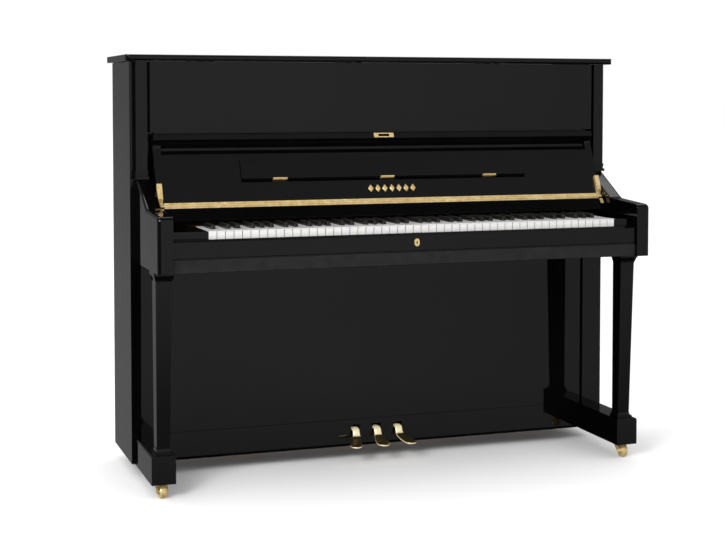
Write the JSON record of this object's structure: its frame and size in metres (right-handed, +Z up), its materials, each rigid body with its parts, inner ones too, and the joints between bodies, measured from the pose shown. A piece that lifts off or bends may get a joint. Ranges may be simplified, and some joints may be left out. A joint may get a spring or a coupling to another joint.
{
  "type": "upright piano",
  "caption": "Black upright piano with a raised fallboard, fold-out music desk, hinged lid, full keyboard, action, pedals and casters.",
  "frame": {"origin": "middle of the footprint, on the floor", "axes": "+X to the player's right, -Y towards the player, +Z up"},
  "size_m": [1.53, 0.62, 1.21],
  "materials": {
    "black_polyester": "black polyester lacquer, polished to a mirror gloss",
    "key_bed_wood": "dark stained board, satin",
    "beech": "bare beech, sanded",
    "spruce": "spruce, clear satin lacquer",
    "brass": "polished and lacquered brass",
    "key_white": "ivory white plastic key covering, polished",
    "key_black": "black plastic sharp, satin",
    "hammer_felt": "pressed wool felt on a maple moulding",
    "damper_felt": "soft wool felt on a wooden head",
    "muffler_felt": "thin green wool felt",
    "plate_bronze": "cast iron, bronze paint",
    "pin_steel": "blued and nickelled steel",
    "string_steel": "bright music wire, copper wound in the bass",
    "pedal_frame_iron": "black painted steel"
  },
  "bodies": {
    "case": {"left_side_panel": "black_polyester", "right_side_panel": "black_polyester", "front_pilasters": "black_polyester", "arms": "black_polyester", "legs": "black_polyester", "toe_blocks": "black_polyester", "key_bed": "key_bed_wood", "key_slip": "black_polyester", "key_blocks": "black_polyester", "upper_panel": "black_polyester", "lower_panel": "black_polyester", "bottom_rail": "black_polyester", "bottom_board": "key_bed_wood", "lid_hinge_frame_leaves": "brass", "fallboard_hinge_fixed_leaf": "brass", "nameboard": "black_polyester", "lock_escutcheon": "brass", "key_frame": "beech", "action_frame": "beech", "pedal_frame": "pedal_frame_iron", "rear_caster_forks": "brass", "back_frame": "spruce", "soundboard": "spruce", "iron_plate": "plate_bronze", "tuning_pins": "pin_steel", "strings": "string_steel"},
    "lid": {"top_lid": "black_polyester", "lid_hinge_lid_leaves": "brass"},
    "fallboard": {"fallboard": "black_polyester", "fallboard_hinge_moving_leaf": "brass", "strike_plate": "brass", "music_desk_hinges": "brass"},
    "music_desk": {"music_desk": "black_polyester"},
    "lock_bolt": {"lock_bolt": "brass"},
    "hammer_rest_rail": {"hammer_rest_rail": "beech"},
    "dampers": {"dampers": "damper_felt"},
    "muffler_rail": {"muffler_rail": "muffler_felt"},
    "left_pedal": {"left_pedal": "brass"},
    "middle_pedal": {"middle_pedal": "brass"},
    "right_pedal": {"right_pedal": "brass"},
    "front_left_caster_fork": {"front_left_caster_fork": "brass"},
    "front_left_caster_wheel": {"front_left_caster_wheel": "brass"},
    "front_right_caster_fork": {"front_right_caster_fork": "brass"},
    "front_right_caster_wheel": {"front_right_caster_wheel": "brass"},
    "rear_left_caster_wheel": {"rear_left_caster_wheel": "brass"},
    "rear_right_caster_wheel": {"rear_right_caster_wheel": "brass"},
    "keys_c_f": {"keys_c_f": "key_white"},
    "hammers_c_f": {"hammers_c_f": "hammer_felt"},
    "keys_d_g": {"keys_d_g": "key_white"},
    "hammers_d_g": {"hammers_d_g": "hammer_felt"},
    "keys_e_a": {"keys_e_a": "key_white"},
    "hammers_e_a": {"hammers_e_a": "hammer_felt"},
    "keys_b": {"keys_b": "key_white"},
    "hammers_b": {"hammers_b": "hammer_felt"},
    "keys_c_sharp_f_sharp": {"keys_c_sharp_f_sharp": "key_black"},
    "hammers_c_sharp_f_sharp": {"hammers_c_sharp_f_sharp": "hammer_felt"},
    "keys_d_sharp_g_sharp": {"keys_d_sharp_g_sharp": "key_black"},
    "hammers_d_sharp_g_sharp": {"hammers_d_sharp_g_sharp": "hammer_felt"},
    "keys_a_sharp": {"keys_a_sharp": "key_black"},
    "hammers_a_sharp": {"hammers_a_sharp": "hammer_felt"}
  },
  "joints": [
    {"name": "lid_hinge", "type": "hinge", "parent": "case", "child": "lid", "pos_m": [0, 0.302, 1.19], "axis": [-1, 0, 0], "range_deg": [0, 100]},
    {"name": "fallboard_hinge", "type": "hinge", "parent": "case", "child": "fallboard", "pos_m": [0, -0.097, 0.786], "axis": [1, 0, 0], "range_deg": [0, 130]},
    {"name": "music_desk_hinge", "type": "hinge", "parent": "fallboard", "child": "music_desk", "pos_m": [0, -0.06172, 0.85786], "axis": [-1, 0, 0], "range_deg": [-90, 0]},
    {"name": "key_balance_c_f", "type": "hinge", "parent": "case", "child": "keys_c_f", "pos_m": [0, -0.063, 0.7006], "axis": [1, 0, 0], "range_deg": [0, 2.6], "stiffness_Nm_per_rad": 12, "springref_deg": -5.73},
    {"name": "key_balance_d_g", "type": "hinge", "parent": "case", "child": "keys_d_g", "pos_m": [0, -0.063, 0.7006], "axis": [1, 0, 0], "range_deg": [0, 2.6], "stiffness_Nm_per_rad": 12, "springref_deg": -5.73},
    {"name": "key_balance_e_a", "type": "hinge", "parent": "case", "child": "keys_e_a", "pos_m": [0, -0.063, 0.7006], "axis": [1, 0, 0], "range_deg": [0, 2.6], "stiffness_Nm_per_rad": 12, "springref_deg": -5.73},
    {"name": "key_balance_b", "type": "hinge", "parent": "case", "child": "keys_b", "pos_m": [0, -0.063, 0.7006], "axis": [1, 0, 0], "range_deg": [0, 2.6], "stiffness_Nm_per_rad": 12, "springref_deg": -5.73},
    {"name": "key_balance_c_sharp_f_sharp", "type": "hinge", "parent": "case", "child": "keys_c_sharp_f_sharp", "pos_m": [0, -0.063, 0.7006], "axis": [1, 0, 0], "range_deg": [0, 2.6], "stiffness_Nm_per_rad": 12, "springref_deg": -5.73},
    {"name": "key_balance_d_sharp_g_sharp", "type": "hinge", "parent": "case", "child": "keys_d_sharp_g_sharp", "pos_m": [0, -0.063, 0.7006], "axis": [1, 0, 0], "range_deg": [0, 2.6], "stiffness_Nm_per_rad": 12, "springref_deg": -5.73},
    {"name": "key_balance_a_sharp", "type": "hinge", "parent": "case", "child": "keys_a_sharp", "pos_m": [0, -0.063, 0.7006], "axis": [1, 0, 0], "range_deg": [0, 2.6], "stiffness_Nm_per_rad": 12, "springref_deg": -5.73},
    {"name": "hammer_butt_c_f", "type": "hinge", "parent": "case", "child": "hammers_c_f", "pos_m": [0, 0.088, 0.94], "axis": [-1, 0, 0], "range_deg": [0, 15.6]},
    {"name": "hammer_butt_d_g", "type": "hinge", "parent": "case", "child": "hammers_d_g", "pos_m": [0, 0.088, 0.94], "axis": [-1, 0, 0], "range_deg": [0, 15.6]},
    {"name": "hammer_butt_e_a", "type": "hinge", "parent": "case", "child": "hammers_e_a", "pos_m": [0, 0.088, 0.94], "axis": [-1, 0, 0], "range_deg": [0, 15.6]},
    {"name": "hammer_butt_b", "type": "hinge", "parent": "case", "child": "hammers_b", "pos_m": [0, 0.088, 0.94], "axis": [-1, 0, 0], "range_deg": [0, 15.6]},
    {"name": "hammer_butt_c_sharp_f_sharp", "type": "hinge", "parent": "case", "child": "hammers_c_sharp_f_sharp", "pos_m": [0, 0.088, 0.94], "axis": [-1, 0, 0], "range_deg": [0, 15.6]},
    {"name": "hammer_butt_d_sharp_g_sharp", "type": "hinge", "parent": "case", "child": "hammers_d_sharp_g_sharp", "pos_m": [0, 0.088, 0.94], "axis": [-1, 0, 0], "range_deg": [0, 15.6]},
    {"name": "hammer_butt_a_sharp", "type": "hinge", "parent": "case", "child": "hammers_a_sharp", "pos_m": [0, 0.088, 0.94], "axis": [-1, 0, 0], "range_deg": [0, 15.6]},
    {"name": "left_pedal_hinge", "type": "hinge", "parent": "case", "child": "left_pedal", "pos_m": [-0.076, 0.095, 0.09], "axis": [1, 0, 0], "range_deg": [0, 6], "stiffness_Nm_per_rad": 25, "springref_deg": -11.46},
    {"name": "middle_pedal_hinge", "type": "hinge", "parent": "case", "child": "middle_pedal", "pos_m": [-0.008, 0.095, 0.09], "axis": [1, 0, 0], "range_deg": [0, 6], "stiffness_Nm_per_rad": 25, "springref_deg": -11.46},
    {"name": "right_pedal_hinge", "type": "hinge", "parent": "case", "child": "right_pedal", "pos_m": [0.06, 0.095, 0.09], "axis": [1, 0, 0], "range_deg": [0, 6], "stiffness_Nm_per_rad": 25, "springref_deg": -11.46},
    {"name": "hammer_rest_rail_slide", "type": "slide", "parent": "case", "child": "hammer_rest_rail", "axis": [0, 1, 0], "range_m": [0, 0.006]},
    {"name": "muffler_rail_slide", "type": "slide", "parent": "case", "child": "muffler_rail", "axis": [0, 0, -1], "range_m": [0, 0.018]},
    {"name": "damper_lift", "type": "hinge", "parent": "case", "child": "dampers", "pos_m": [0, 0.137, 0.905], "axis": [1, 0, 0], "range_deg": [0, 4]},
    {"name": "lock_bolt_slide", "type": "slide", "parent": "case", "child": "lock_bolt", "axis": [0, 0, 1], "range_m": [0, 0.007]},
    {"name": "front_left_caster_swivel", "type": "hinge", "parent": "case", "child": "front_left_caster_fork", "pos_m": [-0.706, -0.195, 0.045], "axis": [0, 0, 1], "continuous": true},
    {"name": "front_left_caster_roll", "type": "hinge", "parent": "front_left_caster_fork", "child": "front_left_caster_wheel", "pos_m": [-0.706, -0.209, 0.018], "axis": [1, 0, 0], "continuous": true},
    {"name": "front_right_caster_swivel", "type": "hinge", "parent": "case", "child": "front_right_caster_fork", "pos_m": [0.706, -0.195, 0.045], "axis": [0, 0, 1], "continuous": true},
    {"name": "front_right_caster_roll", "type": "hinge", "parent": "front_right_caster_fork", "child": "front_right_caster_wheel", "pos_m": [0.706, -0.209, 0.018], "axis": [1, 0, 0], "continuous": true},
    {"name": "rear_left_caster_roll", "type": "hinge", "parent": "case", "child": "rear_left_caster_wheel", "pos_m": [-0.69, 0.262, 0.018], "axis": [1, 0, 0], "continuous": true},
    {"name": "rear_right_caster_roll", "type": "hinge", "parent": "case", "child": "rear_right_caster_wheel", "pos_m": [0.69, 0.262, 0.018], "axis": [1, 0, 0], "continuous": true}
  ],
  "couplings": [
    {"joint": "hammer_butt_c_f", "follows": "key_balance_c_f", "ratio": 6},
    {"joint": "hammer_butt_d_g", "follows": "key_balance_d_g", "ratio": 6},
    {"joint": "hammer_butt_e_a", "follows": "key_balance_e_a", "ratio": 6},
    {"joint": "hammer_butt_b", "follows": "key_balance_b", "ratio": 6},
    {"joint": "hammer_butt_c_sharp_f_sharp", "follows": "key_balance_c_sharp_f_sharp", "ratio": 6},
    {"joint": "hammer_butt_d_sharp_g_sharp", "follows": "key_balance_d_sharp_g_sharp", "ratio": 6},
    {"joint": "hammer_butt_a_sharp", "follows": "key_balance_a_sharp", "ratio": 6},
    {"joint": "hammer_rest_rail_slide", "follows": "left_pedal_hinge", "m_per_rad": 0.05634},
    {"joint": "muffler_rail_slide", "follows": "middle_pedal_hinge", "m_per_rad": 0.17093},
    {"joint": "damper_lift", "follows": "right_pedal_hinge", "ratio": 0.66}
  ]
}
